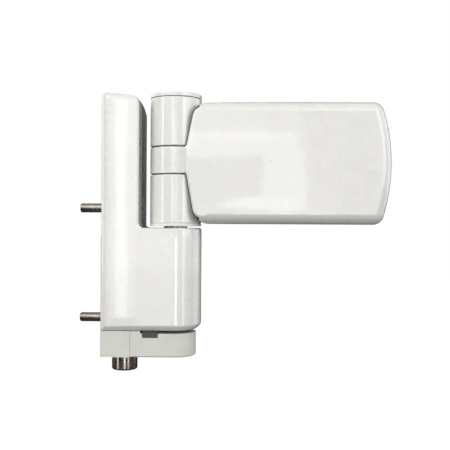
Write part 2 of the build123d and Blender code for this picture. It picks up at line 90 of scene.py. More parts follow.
class FLAG_HINGE_PG_cover(PropertyGroup):
    leg_width: length("Leg width", "Outer side of the upright leg from the frame face", 16.3 * MM)
    body_top: length("Body top", "Height of the wide lower body's top", 15.1 * MM)
    top_drop: length("Top drop", "Fall of the leg's top across its width", 1.8 * MM)
    top_corner: length("Top corner", "Radius of the leg's top corner", 3.0 * MM)
    rim_corner: length("Rim corner", "Radius of the leg's top corner beside the frame", 2.0 * MM)
    inner_corner: length("Inner corner", "Radius between the leg and the body", 2.4 * MM)
    rim_edge: length("Rim edge", "Radius of the front edges beside the frame and along the top", 2.8 * MM)
    crown_from: length("Crown from", "Depth from which the leg's top bends down to the rear", 1.0 * MM)
    crown_bend: length("Crown bend", "Radius of that bend", 45.0 * MM)
    side_edge: length("Side edge", "Radius of the leg's front edge beside the barrel", 0.9 * MM)
    shoulder_edge: length("Shoulder edge", "Radius of the body's top edge", 0.7 * MM)
    lower_edge: length("Lower edge", "Radius of the body's lower edge", 2.7 * MM)
    wall: length("Wall", "Wall of the shell", 1.8 * MM)
    rim_wall: length("Rim wall", "Thicker wall along the frame face", 3.1 * MM)
    lower_wall: length("Lower wall", "Thicker wall along the lower rim", 3.0 * MM)


class FLAG_HINGE_PG_flag(PropertyGroup):
    left: length("Left", "Where the slanted left edge would meet the flag's top and bottom", 39.7 * MM)
    neck: length("Neck", "Left edge where it meets the knuckle", 35.8 * MM)
    root: length("Root", "Left end of the raised front on the knuckle", 34.7 * MM)
    end_arc: length("End arc", "Radius of the flag's curved end", 78.0 * MM)
    corner: length("Corner", "Radius of the two corners at the curved end", 4.6 * MM)
    left_corner: length("Left corner", "Radius of the two corners beside the sleeves", 7.4 * MM)
    neck_corner: length("Neck corner", "Radius of the corners beside the knuckle", 1.2 * MM)
    edge: length("Edge", "Radius of the front edge", 4.5 * MM)
    neck_edge: length("Neck edge", "Radius of the front edge beside the sleeves", 1.5 * MM)
    growth_from: length("Growth from", "Where the edge starts to widen, left of the left end", 1.1 * MM)
    growth: length("Growth", "Length over which the edge widens", 7.0 * MM)
    wall: length("Wall", "Wall of the shell", 2.0 * MM)
    clearance: length("Clearance", "Room between the flag and the sleeves", 0.8 * MM)


class FLAG_HINGE_PG_barrel(PropertyGroup):
    sides: IntProperty(name="Sides", description="Steps of a full turn", default=96, min=24, max=256)
    wall: length("Wall", "Wall of a sleeve", 1.4 * MM)
    end_wall: length("End wall", "Closed end of a sleeve", 1.3 * MM)
    edge: length("Edge", "Broken edge of a section", 0.4 * MM)
    joint: length("Joint", "Open joint above and below the knuckle", 0.5 * MM)
    hub: length("Hub", "Radius of the leaf's hub inside the sleeves", 9.3 * MM)
    pin: length("Pin", "Radius of the hinge pin", 5.0 * MM)
    spigot: length("Spigot", "Radius of the pin's reduced upper end", 4.0 * MM)
    cap_gap: length("Cap gap", "Open joint between the cap and the upper sleeve", 0.2 * MM)
    cap_rim: length("Cap rim", "Height of the cap's rim", 1.6 * MM)
    cap_stem: length("Cap stem", "Radius of the cap's stem", 2.0 * MM)


class FLAG_HINGE_PG_pins(PropertyGroup):
    sides: IntProperty(name="Sides", description="Steps of a full turn", default=64, min=16, max=256)
    tip: length("Tip", "Chamfer of a locating pin", 0.8 * MM)
    spindle_tip: length("Spindle tip", "Chamfer of the spindle's lower end", 0.9 * MM)
    socket: length("Socket", "Width of the spindle's hexagon socket across its flats", 5.0 * MM)
    socket_depth: length("Socket depth", "Depth of the hexagon socket", 5.5 * MM)


class FLAG_HINGE_PG_finish(PropertyGroup):
    gloss: colour("Gloss white", "Painted covers and sleeves", (0.80, 0.79, 0.755))
    casting: colour("Casting", "Painted castings", (0.66, 0.66, 0.605))
    bearing: colour("Bearing", "Washer and bushes", (0.86, 0.86, 0.84))
    pin: colour("Pin steel", "Turned pins", (0.25, 0.225, 0.205))
    nickel: colour("Nickel", "Spindle and screws", (0.39, 0.325, 0.29))
    clip: colour("Clip", "Spring clip under the cover", (0.060, 0.066, 0.066))


class FLAG_HINGE_PG_stage(PropertyGroup):
    lens: FloatProperty(name="Lens", description="Focal length on a 36 mm sensor", default=59.3,
                        unit="CAMERA")
    camera: FloatVectorProperty(name="Camera", description="Place of the camera", unit="LENGTH",
                                subtype="TRANSLATION", default=(0.0595, -0.3202, 0.0172))
    turn: FloatVectorProperty(name="Turn", description="Pitch, roll and yaw of a level camera",
                              unit="ROTATION", subtype="EULER",
                              default=(radians(-0.13), radians(-0.30), radians(1.28)))
    floor: FloatProperty(name="Floor", description="Height of the floor", default=-0.40, unit="LENGTH",
                         subtype="DISTANCE")
    room: light("Room light", "Strength of the light from all round", 0.15)
    gloss: light("Room gloss", "Brightness of the room in the gloss", 0.7)
    key: light("Key light", "Brightness of the large lamps", 2.27)
    strip: light("Strip lights", "Brightness of the narrow lamps", 3.5)


class FLAG_HINGE_PG_settings(PropertyGroup):
    cover: PointerProperty(type=FLAG_HINGE_PG_cover, name="Cover", description="Sizes of the frame cover")
    flag: PointerProperty(type=FLAG_HINGE_PG_flag, name="Flag", description="Sizes of the flag")
    barrel: PointerProperty(type=FLAG_HINGE_PG_barrel, name="Barrel", description="Sizes of the barrel")
    pins: PointerProperty(type=FLAG_HINGE_PG_pins, name="Pins", description="Sizes of the pins")
    finish: PointerProperty(type=FLAG_HINGE_PG_finish, name="Finish", description="Colours")
    stage: PointerProperty(type=FLAG_HINGE_PG_stage, name="Stage", description="Camera and light")


# Shaping

def vert(bm, x, y, z):
    return bm.verts.new((x, y, z))


def raise_faces(bm, faces, offset, keep=True):
    """Extrude faces by an offset and return the moved faces. The first ones stay as the underside, or go."""
    made = bmesh.ops.extrude_face_region(bm, geom=faces)["geom"]
    bmesh.ops.translate(bm, vec=offset, verts=[g for g in made if isinstance(g, bmesh.types.BMVert)])
    if not keep:
        bmesh.ops.delete(bm, geom=[f for f in faces if f.is_valid], context="FACES_ONLY")
    return [g for g in made if isinstance(g, bmesh.types.BMFace)]


def round_corners(bm, verts, offset, segments):
    """Round corners of a flat outline. The offset is how far the arc starts from the corner."""
    bmesh.ops.bevel(bm, geom=verts, offset=offset, offset_type="OFFSET", segments=segments, profile=0.5,
                    affect="VERTICES", clamp_overlap=False, material=-1)


def tidy(bm):
    bmesh.ops.remove_doubles(bm, verts=bm.verts, dist=WELD)
    bmesh.ops.recalc_face_normals(bm, faces=bm.faces)


def near(value, target, reach=WELD * 10):
    return abs(value - target) < reach


def middle(edge):
    return (edge.verts[0].co + edge.verts[1].co) / 2


def along(edge, axis):
    """True if an edge runs along one of the three axes."""
    way = edge.verts[1].co - edge.verts[0].co
    return abs(way[axis]) > 0.999 * way.length


def spin_round(bm, sides):
    """Turn a flat outline about the Z axis into a solid. Its edges on the axis go."""
    bmesh.ops.delete(bm, geom=list(bm.faces), context="FACES_ONLY")
    on_axis = [e for e in bm.edges if all(near(v.co.x, 0) for v in e.verts)]
    bmesh.ops.delete(bm, geom=on_axis, context="EDGES")
    bmesh.ops.spin(bm, geom=list(bm.verts) + list(bm.edges), cent=(0, 0, 0), axis=(0, 0, 1), dvec=(0, 0, 0),
                   angle=tau, steps=sides, use_merge=True)
    tidy(bm)


def turned(outline, rounds, sides, place, way="Z"):
    """Solid turned about an axis, from (radius, height) corners, some of them rounded by (size, steps)."""
    bm = bmesh.new()
    ring = [vert(bm, r, 0, z) for r, z in outline]
    bm.faces.new(ring)
    for index, (size, segments) in rounds.items():
        round_corners(bm, [ring[index]], size, segments)
    spin_round(bm, sides)
    if way == "X":
        bmesh.ops.rotate(bm, verts=bm.verts, cent=(0, 0, 0), matrix=Matrix.Rotation(pi / 2, 3, "Y"))
    bmesh.ops.translate(bm, verts=bm.verts, vec=place)
    return bm


def upright(radius, low, high, sides=96, x=AXIS_X, y=0.0):
    """Upright cylinder on the hinge axis, or elsewhere."""
    bm = bmesh.new()
    place = Matrix.Translation((x, y, (low + high) / 2))
    bmesh.ops.create_cone(bm, cap_ends=True, segments=sides, radius1=radius, radius2=radius, depth=high - low,
                          matrix=place)
    return bm


def block(low, high):
    bm = bmesh.new()
    size = Vector(high) - Vector(low)
    bmesh.ops.create_cube(bm, size=1.0)
    bmesh.ops.scale(bm, vec=size, verts=bm.verts)
    bmesh.ops.translate(bm, vec=(Vector(low) + Vector(high)) / 2, verts=bm.verts)
    return bm


def new_object(name, bm):
    mesh = bpy.data.meshes.new(name)
    bm.to_mesh(mesh)
    bm.free()
    made = bpy.data.objects.new(name, mesh)
    bpy.context.scene.collection.objects.link(made)
    return made


def settle(piece):
    """Put what the modifiers make into the mesh itself."""
    bpy.context.view_layer.update()
    shaped = piece.evaluated_get(bpy.context.evaluated_depsgraph_get())
    made, old = bpy.data.meshes.new_from_object(shaped), piece.data
    piece.modifiers.clear()
    piece.data = made
    bpy.data.meshes.remove(old)


def combine(piece, bm, operation):
    """Join another solid to a piece, or cut it away."""
    tool = new_object("tool", bm)
    step = piece.modifiers.new(operation, "BOOLEAN")
    step.operation, step.object, step.solver = operation, tool, "EXACT"
    settle(piece)
    bpy.data.objects.remove(tool)


def round_marked(piece, radius, segments):
    """Round every edge by its bevel weight times a radius, a little flatter than a true arc."""
    step = piece.modifiers.new("round", "BEVEL")
    step.limit_method, step.width, step.segments, step.profile = "WEIGHT", radius, segments, 0.36
    step.use_clamp_overlap = False
    settle(piece)


def dress(piece, body, slot, node):
    """Smooth a finished piece, give it its finish and let it ride on its body in place of a node."""
    crease = radians(30)
    bm = bmesh.new()
    bm.from_mesh(piece.data)
    bmesh.ops.remove_doubles(bm, verts=bm.verts, dist=WELD)
    for face in bm.faces:
        face.smooth = True
    for edge in bm.edges:
        edge.smooth = edge.is_manifold and edge.calc_face_angle(0.0) < crease
    bm.to_mesh(piece.data)
    bm.free()
    step = piece.modifiers.new("weighted normals", "WEIGHTED_NORMAL")
    step.keep_sharp = True
    piece.data.materials.clear()
    piece.data.materials.append(bpy.data.materials[slot])
    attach(piece, body)
    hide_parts(node)


# Frame cover

def crown_height(size):
    """Height at which the leg's sloping top would meet the frame side if its corner were sharp."""
    slope = size.top_drop / (size.leg_width - COVER_LOW.x)
    return COVER_HIGH.z + size.rim_corner * (slope + hypot(1, slope) - 1)


def cover_solid(size, inset, left, bottom):
    """Leg and body of the cover in one solid, its faces moved in by an inset, its front edges sharp."""
    back, end_r = COVER_HIGH.y - inset, COVER_HIGH.x - AXIS_X - inset
    leg, shoulder, top = size.leg_width - inset, size.body_top - inset, crown_height(size) - inset
    bm = bmesh.new()
    foot, fork = vert(bm, leg, -end_r, bottom), vert(bm, leg, -end_r, shoulder)
    crown = vert(bm, leg, -end_r, top - size.top_drop)
    right = [vert(bm, AXIS_X, -end_r, bottom), vert(bm, AXIS_X, -end_r, shoulder)]
    bm.faces.new([vert(bm, left, -end_r, bottom), foot, *right, fork, crown, vert(bm, left, -end_r, top)])
    round_corners(bm, [fork], size.inner_corner + inset, 8)
    round_corners(bm, [crown], max(size.top_corner - inset, MM / 5), 8)
    # Part the outline along the leg's outer side, because the leg reaches further back than the body
    above = [v for v in bm.verts if near(v.co.x, leg) and v.co.z > shoulder]
    bm.faces.ensure_lookup_table()
    bmesh.utils.face_split(bm.faces[0], foot, min(above, key=lambda v: v.co.z))
    rear = raise_faces(bm, list(bm.faces), (0, 2 * end_r, 0))
    leg_rear = min(rear, key=lambda f: f.calc_center_median().x)
    raise_faces(bm, [leg_rear], (0, back - end_r, 0), keep=False)
    # Turn the body's right end about the hinge axis
    joint = [f for f in bm.faces if all(near(v.co.x, AXIS_X) for v in f.verts)]
    bmesh.ops.delete(bm, geom=joint, context="FACES_ONLY")
    corner = [e for e in bm.edges if along(e, 2) and near(middle(e).x, AXIS_X) and near(middle(e).y, -end_r)]
    bmesh.ops.spin(bm, geom=list(corner[0].verts) + corner, cent=(AXIS_X, 0, 0), axis=(0, 0, 1),
                   dvec=(0, 0, 0), angle=pi, steps=40, use_merge=False)
    bmesh.ops.remove_doubles(bm, verts=bm.verts, dist=WELD)
    bmesh.ops.holes_fill(bm, edges=[e for e in bm.edges if e.is_boundary], sides=0)
    bend_crown(bm, size, top)
    bmesh.ops.recalc_face_normals(bm, faces=bm.faces)
    return bm


def corner_start(size, top):
    """Height just under the round corner of the leg's top."""
    return top - size.top_drop - size.top_corner - MM / 10


def bend_crown(bm, size, top):
    """Bend the leg's top down towards the rear."""
    crown, cut_spacing = corner_start(size, top), 2.5 * MM
    for step in range(1, 5):
        high = [f for f in bm.faces if max(v.co.z for v in f.verts) > crown]
        geom = set(high).union(*(f.verts for f in high), *(f.edges for f in high))
        bmesh.ops.bisect_plane(bm, geom=list(geom), plane_co=(0, size.crown_from + cut_spacing * step, 0),
                               plane_no=(0, 1, 0))
    for v in bm.verts:
        if v.co.z > crown and v.co.y > size.crown_from:
            v.co.z -= (v.co.y - size.crown_from)**2 / (2 * size.crown_bend)


def cover_edge_radius(edge, size):
    """Radius of an outer edge of the cover, by its place."""
    low, at = COVER_LOW, middle(edge)
    in_front, at_bottom = near(at.y, low.y), near(at.z, low.z)
    if at_bottom:
        outside = in_front or at.x > AXIS_X
        return size.lower_edge if outside and not near(at.x, low.x) else 0.0
    if in_front and near(at.x, low.x):
        return size.rim_edge
    if near(at.x, low.x) and not along(edge, 2) and at.z > size.body_top:
        return size.rim_corner
    if in_front and at.x < size.leg_width - size.top_corner and at.z > size.body_top + size.inner_corner:
        return size.rim_edge
    if in_front and at.z > corner_start(size, crown_height(size)):
        share = (size.leg_width - at.x) / size.top_corner
        return size.side_edge + (size.rim_edge - size.side_edge) * min(share, 1.0)
    if in_front and at.z > size.body_top + MM / 10:
        return size.side_edge
    if near(at.z, size.body_top):
        return size.shoulder_edge
    return 0.0


def make_cover(size):
    """Shell of the frame side: leg and body, open along the frame face and at the lower end."""
    bm = cover_solid(size, 0.0, COVER_LOW.x, COVER_LOW.z)
    mark = bm.edges.layers.float.new("bevel_weight_edge")
    for edge in bm.edges:
        if edge.is_manifold and edge.calc_face_angle(0.0) > radians(20):
            edge[mark] = cover_edge_radius(edge, size) / size.rim_edge
    # The shell's outer form, its front edges rounded
    piece = new_object("cover_shell", bm)
    round_marked(piece, size.rim_edge, 8)
    # Inside of leg and body, behind the thick walls along the frame face and the lower rim
    lip, floor = 4.0 * MM, COVER_LOW.z + size.lower_wall
    combine(piece, cover_solid(size, size.wall, lip, floor), "DIFFERENCE")
    # Opening along the frame face
    plate_gap = 0.2 * MM
    opening_top = crown_height(size) - size.top_drop - size.wall
    combine(piece, block((COVER_LOW.x - PAST, COVER_LOW.y + size.rim_wall, COVER_LOW.z - PAST),
                         (lip + PAST, COVER_HIGH.y - size.wall - plate_gap, opening_top)), "DIFFERENCE")
    # Opening at the lower end
    mouth_step = 0.6 * MM
    mouth = cover_solid(size, size.lower_wall, lip + mouth_step, COVER_LOW.z - PAST)
    bmesh.ops.bisect_plane(mouth, geom=list(mouth.verts) + list(mouth.edges) + list(mouth.faces),
                           plane_co=(0, 0, floor + PAST), plane_no=(0, 0, 1), clear_outer=True)
    bmesh.ops.holes_fill(mouth, edges=[e for e in mouth.edges if e.is_boundary], sides=0)
    bmesh.ops.recalc_face_normals(mouth, faces=mouth.faces)
    combine(piece, mouth, "DIFFERENCE")
    # Hole in the shoulder for the pin's bush
    bush_low, bush_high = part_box("carrier_bush")
    bush_gap = 0.1 * MM
    combine(piece, upright((bush_high.x - bush_low.x) / 2 + bush_gap, size.body_top - size.wall - PAST,
                           size.body_top + PAST), "DIFFERENCE")
    dress(piece, "carrier", "white_gloss", "frame_cover")


# Flag

def knuckle_heights():
    """Lower and upper end of the turning knuckle, an open joint away from the sleeves."""
    joint = settings().barrel.joint
    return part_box("lower_sleeve")[1].z + joint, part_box("upper_sleeve")[0].z - joint


def flag_outline(bm, size, inset, left, neck, root=None):
    """Front outline of the flag as one face at Y = 0, with round corners. A root adds the knuckle's front."""
    low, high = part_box("flag_cover")
    bottom, top = low.z + inset, high.z - inset
    knuckle_low, knuckle_top = knuckle_heights()
    arc_r = size.end_arc - inset
    centre = Vector((high.x - size.end_arc, 0, (low.z + high.z) / 2))
    half = asin((top - centre.z) / arc_r)
    start = vert(bm, centre.x + arc_r * cos(half), 0, bottom)
    bmesh.ops.spin(bm, geom=[start], cent=centre, axis=(0, -1, 0), dvec=(0, 0, 0), angle=2 * half, steps=12,
                   use_merge=False)
    arc = sorted(bm.verts, key=lambda v: v.co.z)
    bmesh.ops.delete(bm, geom=list(bm.edges), context="EDGES_FACES")
    knuckle = [(neck, knuckle_top), (neck, knuckle_low)]
    if root is not None:
        knuckle = [(neck, knuckle_top), (root, knuckle_top), (root, knuckle_low), (neck, knuckle_low)]
    rest = [vert(bm, x, 0, z) for x, z in [(left, top), *knuckle, (left, bottom)]]
    bm.faces.new(arc + rest)
    lean = atan2(abs(left - neck), top - knuckle_top)
    round_corners(bm, [arc[0], arc[-1]], (size.corner - inset) * tan((pi / 2 - half) / 2), 6)
    round_corners(bm, [rest[0], rest[-1]], (size.left_corner - inset) * tan((pi / 2 - lean) / 2), 10)
    if root is not None:
        round_corners(bm, [rest[1], rest[-2]], size.neck_corner * tan((pi / 2 - lean) / 2), 5)


def flag_slab(size, inset, left, neck, front, rear, root=None):
    """The flag's outline as a flat solid between two depths."""
    bm = bmesh.new()
    flag_outline(bm, size, inset, left, neck, root)
    bmesh.ops.remove_doubles(bm, verts=bm.verts, dist=WELD)
    bmesh.ops.translate(bm, vec=(0, front, 0), verts=bm.verts)
    raise_faces(bm, list(bm.faces), (0, rear - front, 0))
    bmesh.ops.recalc_face_normals(bm, faces=bm.faces)
    return bm


def round_front(bm, size, rings=10):
    """Round the flag's front edge ring by ring, wide along the flag and narrow beside the sleeves."""
    bm.normal_update()
    face = min(bm.faces, key=lambda f: f.calc_center_median().y)
    number = bm.verts.layers.int.new("number")
    corners, normal = list(face.verts), face.normal.copy()
    plan = []
    for index, v in enumerate(corners):
        v[number] = index
        ends = corners[index - 1].co, v.co, corners[(index + 1) % len(corners)].co
        first, second = (normal.cross(b - a).normalized() for a, b in zip(ends, ends[1:]))
        share = min(max((v.co.x - size.left + size.growth_from) / size.growth, 0.0), 1.0)
        radius = size.neck_edge + (size.edge - size.neck_edge) * share * share * (3 - 2 * share)
        plan.append((v.co.copy(), (first + second) / (1 + first.dot(second)), radius))
    for ring in range(rings + 1):
        if ring:
            face = raise_faces(bm, [face], (0, 0, 0), keep=False)[0]
        step, turn = ring / rings, pi / 2 * ring / rings
        for v in face.verts:
            start, inward, radius = plan[v[number]]
            flat = 1.0 if near(start.x, size.root) else 0.4
            moved = flat * step + (1 - flat) * (1 - cos(turn))
            depth = flat * (1 - step) + (1 - flat) * (1 - sin(turn))
            v.co = start + inward * radius * moved + Vector((0, radius * depth, 0))
            v.co.x = max(v.co.x, size.root + size.neck_edge * step)


def make_flag(size, barrel):
    """Shell of the flag, one piece with the front half of its knuckle."""
    low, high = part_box("flag_cover")
    knuckle_low, knuckle_top = knuckle_heights()
    bm = flag_slab(size, 0.0, size.left, size.neck, low.y, high.y, size.root)
    round_front(bm, size)
    piece = new_object("flag_shell", bm)
    # Room for the two sleeves, and the knuckle between them
    space = BARREL_R + size.clearance
    for z0, z1 in ((low.z - PAST, knuckle_low), (knuckle_top, high.z + PAST)):
        combine(piece, upright(space, z0, z1), "DIFFERENCE")
    height, edge = knuckle_top - knuckle_low, (barrel.edge, 2)
    ring = turned([(0, 0), (BARREL_R, 0), (BARREL_R, height), (0, height)], {1: edge, 2: edge}, barrel.sides,
                  (AXIS_X, 0, knuckle_low))
    combine(piece, ring, "UNION")
    # Inside of the shell, where the wall beside the sleeves is thinner
    wall_end, thinner = AXIS_X + space + size.wall, 0.4 * MM
    inside_left = wall_end - thinner
    combine(piece, flag_slab(size, size.wall, inside_left, inside_left, low.y + size.wall, high.y + PAST),
            "DIFFERENCE")
    # Bore for the leaf's hub, the leaf's half of the knuckle and room for the leaf's neck
    hub_gap, half_gap, end_gap, neck_room = 0.1 * MM, 0.1 * MM, 0.01 * MM, 7.9 * MM
    combine(piece, upright(barrel.hub + hub_gap, knuckle_low - PAST, knuckle_top + PAST), "DIFFERENCE")
    far = 2 * BARREL_R
    combine(piece, block((AXIS_X - far, -half_gap, knuckle_low - PAST), (wall_end, far, knuckle_top + PAST)),
            "DIFFERENCE")
    combine(piece, block((AXIS_X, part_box("flag_leaf")[1].y - neck_room, knuckle_low + end_gap),
                         (wall_end, far, knuckle_top - end_gap)), "DIFFERENCE")
    dress(piece, "flag", "white_gloss", "flag_cover")


# Barrel

def make_sleeve(name, node, open_top, size):
    """Cup-shaped sleeve on the hinge pin, open towards the knuckle."""
    low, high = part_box(node)
    height, inner = high.z - low.z, BARREL_R - size.wall
    hole = (size.pin if open_top else size.spigot) + TIGHT
    outline = [(hole, 0), (BARREL_R, 0), (BARREL_R, height), (inner, height), (inner, size.end_wall),
               (hole, size.end_wall)]
    if not open_top:
        outline = [(r, height - z) for r, z in outline]
    edge = (size.edge, 3)
    bm = turned(outline, {1: edge, 2: edge}, size.sides, (AXIS_X, 0, low.z))
    dress(new_object(name, bm), "pin", "white_gloss", node)


def make_washer(size):
    """Bright ring under the lower sleeve."""
    low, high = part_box("thrust_washer")
    height, hole, edge = high.z - low.z, size.pin + TIGHT, (size.edge * 0.8, 3)
    bm = turned([(hole, 0), (BARREL_R, 0), (BARREL_R, height), (hole, height)], {1: edge, 2: edge},
                size.sides, (AXIS_X, 0, low.z))
    dress(new_object("washer_ring", bm), "pin", "white_bearing", "thrust_washer")


def make_cap(size):
    """Slightly domed cap with a stem that plugs the upper sleeve."""
    low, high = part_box("top_cap")
    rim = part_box("upper_sleeve")[1].z + size.cap_gap
    rise = high.z - rim - size.cap_rim
    dome_r = (BARREL_R**2 + rise**2) / (2 * rise)
    bm = bmesh.new()
    top = vert(bm, 0, 0, high.z)
    bmesh.ops.spin(bm, geom=[top], cent=(0, 0, high.z - dome_r), axis=(0, 1, 0), dvec=(0, 0, 0),
                   angle=asin(BARREL_R / dome_r), steps=10, use_merge=False)
    dome = sorted(bm.verts, key=lambda v: v.co.x)
    bmesh.ops.delete(bm, geom=list(bm.edges), context="EDGES_FACES")
    lower = [vert(bm, r, 0, z)
             for r, z in ((BARREL_R, rim), (size.cap_stem, rim), (size.cap_stem, low.z), (0, low.z))]
    bm.faces.new(dome + lower)
    upper_edge, lower_edge = 0.3 * MM, 0.2 * MM
    round_corners(bm, [dome[-1]], upper_edge, 3)
    round_corners(bm, [lower[0]], lower_edge, 2)
    spin_round(bm, size.sides)
    bmesh.ops.translate(bm, verts=bm.verts, vec=(AXIS_X, 0, 0))
    dress(new_object("cap_button", bm), "pin", "white_gloss", "top_cap")


# Pins

def make_locating_pin(name, node, size):
    """Pin along X with a chamfered tip and a thicker root inside the plate."""
    low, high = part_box(node)
    centre = (low + high) / 2
    root_r, root_step = (high.z - low.z) / 2, 0.5 * MM
    shank_r = root_r - root_step
    outline = [(0, low.x), (shank_r, low.x), (shank_r, 0), (root_r, 0), (root_r, high.x), (0, high.x)]
    bm = turned(outline, {1: (size.tip, 2)}, size.sides, (0, centre.y, centre.z), way="X")
    dress(new_object(name, bm), "frame_side", "bare_pin", node)


def make_spindle(size):
    """Upright spindle with a hexagon socket below, a groove for its stop pin and an eccentric lobe on top."""
    low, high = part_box("lateral_spindle")
    centre_x, radius = (low.x + high.x) / 2, (high.x - low.x) / 2
    lobe_length, lobe_r, lobe_offset, lobe_angle = 12.0 * MM, 3.0 * MM, 2.0 * MM, radians(225)
    groove_depth, groove_low, groove_high = 1.1 * MM, -35.1 * MM, -32.9 * MM
    body_top, neck_r = high.z - lobe_length, radius - groove_depth
    outline = [(0, low.z), (radius, low.z), (radius, groove_low), (neck_r, groove_low), (neck_r, groove_high),
               (radius, groove_high), (radius, body_top), (0, body_top)]
    bm = turned(outline, {1: (size.spindle_tip, 3)}, size.sides, (centre_x, 0, 0))
    piece = new_object("spindle_body", bm)
    flats = size.socket / 2 / cos(pi / 6)
    combine(piece, upright(flats, low.z - PAST, low.z + size.socket_depth, 6, centre_x), "DIFFERENCE")
    overlap = 0.5 * MM
    combine(piece, upright(lobe_r, body_top - overlap, high.z, 48, centre_x + lobe_offset * cos(lobe_angle),
                           lobe_offset * sin(lobe_angle)), "UNION")
    dress(piece, "lateral_spindle", "nickel", "lateral_spindle")


# Finishes

DUST = (0.12, 0.11, 0.10)          # specks on the enamel
GRIT = (0.14, 0.13, 0.12)          # specks on the castings
PAINTED_SHADE = (0.03, 0.03, 0.028)         # painted shade on faces deep in the gaps
GROOVE_SHADE = (0.035, 0.035, 0.033)     # painted shade in the groove between the foot and the cover


def math_node(tree, operation, first, second):
    """Result of a Math node on two values, each a socket or a number."""
    made = tree.nodes.new("ShaderNodeMath")
    made.operation = operation
    for socket, value in zip(made.inputs, (first, second)):
        if isinstance(value, bpy.types.NodeSocket):
            tree.links.new(value, socket)
        else:
            socket.default_value = value
    return made.outputs[0]


class Finish:
    """A procedural material, wired node by node from the object's own coordinates."""

    def __init__(self, name):
        material = bpy.data.materials.new(name)
        material.use_nodes = True
        self.tree = material.node_tree
        self.tree.nodes.clear()
        self.shader = self.add("ShaderNodeBsdfPrincipled")
        self.link(self.shader.outputs["BSDF"], self.add("ShaderNodeOutputMaterial").inputs["Surface"])
        self.place = self.add("ShaderNodeTexCoord").outputs["Object"]

    def add(self, kind, **inputs):
        made = self.tree.nodes.new(kind)
        for name, value in inputs.items():
            self.feed(made.inputs[name], value)
        return made

    def feed(self, socket, value):
        if isinstance(value, bpy.types.NodeSocket):
            self.link(value, socket)
        elif socket.type == "RGBA":
            socket.default_value = (*value, 1.0)
        else:
            socket.default_value = value

    def link(self, source, target):
        self.tree.links.new(source, target)

    def axes(self):
        """The three coordinates of a point."""
        return self.add("ShaderNodeSeparateXYZ", Vector=self.place).outputs

    def noise(self, scale, detail=2.0, stretch=None):
        where = self.place
        if stretch:
            where = self.add("ShaderNodeMapping", Vector=self.place, Scale=stretch).outputs["Vector"]
        return self.add("ShaderNodeTexNoise", Vector=where, Scale=scale, Detail=detail).outputs["Fac"]

    def spread(self, value, low, high, start=0.3, stop=0.7):
        """Map a value between start and stop to a range."""
        made = self.add("ShaderNodeMapRange", Value=value)
        for index, number in zip((1, 2, 3, 4), (start, stop, low, high)):
            made.inputs[index].default_value = number
        return made.outputs["Result"]

    def inverse(self, share):
        return self.spread(share, 1.0, 0.0, 0.0, 1.0)

    def blend(self, share, first, second):
        made = self.tree.nodes.new("ShaderNodeMix")
        made.data_type = "RGBA"
        for index, value in ((0, share), (6, first), (7, second)):
            self.feed(made.inputs[index], value)
        return made.outputs[2]

    def product(self, first, *others):
        for other in others:
            first = math_node(self.tree, "MULTIPLY", first, other)
        return first

    def specks(self, scale, share):
        """One where a tiny speck lies, zero elsewhere."""
        cells = self.add("ShaderNodeTexVoronoi", Vector=self.place, Scale=scale)
        lucky = self.add("ShaderNodeSeparateColor", Color=cells.outputs["Color"]).outputs[0]
        return self.product(self.spread(lucky, 1.0, 0.0, share, share + 0.001),
                            self.spread(cells.outputs["Distance"], 1.0, 0.0, 0.10, 0.16))

    def between(self, value, low, high):
        """One between two limits, zero outside them."""
        edge = 0.02 * MM
        return self.product(self.spread(value, 0.0, 1.0, low - edge, low),
                            self.spread(value, 1.0, 0.0, high, high + edge))

    def ring(self, inner, outer):
        """One where the distance from the hinge axis lies between two radii, zero elsewhere."""
        flat = self.add("ShaderNodeMapping", Vector=self.place, Scale=(1.0, 1.0, 0.0))
        reach = self.tree.nodes.new("ShaderNodeVectorMath")
        reach.operation = "DISTANCE"
        self.link(flat.outputs["Vector"], reach.inputs[0])
        reach.inputs[1].default_value = (AXIS_X, 0.0, 0.0)
        return self.between(reach.outputs["Value"], inner, outer)

    def relief(self, height, distance, under=None):
        """Bump of a height texture, in metres, over another bump."""
        made = self.add("ShaderNodeBump", Height=height, Strength=1.0, Distance=distance)
        if under is not None:
            self.link(under, made.inputs["Normal"])
        return made.outputs["Normal"]

    def shade(self, **sockets):
        names = {"base": "Base Color", "rough": "Roughness", "normal": "Normal", "metal": "Metallic",
                 "coat": "Coat Weight", "coat_rough": "Coat Roughness", "coat_normal": "Coat Normal",
                 "level": "Specular IOR Level", "ior": "IOR"}
        for name, value in sockets.items():
            self.feed(self.shader.inputs[names[name]], value)


def darker(tone, share):
    return tuple(c * share for c in tone)


def painted_shade_mask(gloss):
    """Mask of painted shade: one on the faces inside the barrel and on those of the flag beside the sleeves,
    zero elsewhere.
    """
    # Outer skin of the barrel and front edge of the flag that stay white, clear of the painted shade
    white_skin, white_edge, margin = 0.45 * MM, 0.7 * MM, 0.1 * MM
    x, y, z = gloss.axes()
    barrel = gloss.between(z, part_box("thrust_washer")[0].z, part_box("upper_sleeve")[1].z + margin)
    inside = gloss.product(gloss.ring(0.0, BARREL_R - white_skin), barrel)
    knuckle_low, knuckle_top = knuckle_heights()
    knuckle = gloss.between(z, knuckle_low + margin, knuckle_top - margin)
    nearest, farthest = BARREL_R + 0.08 * MM, BARREL_R + 6.0 * MM
    left, right = settings().flag.neck - 1.0 * MM, settings().flag.neck + 5.9 * MM
    beside = gloss.product(gloss.ring(nearest, farthest), gloss.between(x, left, right),
                           gloss.between(y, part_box("flag_cover")[0].y + white_edge, 0.0), barrel,
                           gloss.inverse(knuckle))
    return math_node(gloss.tree, "MAXIMUM", inside, beside)


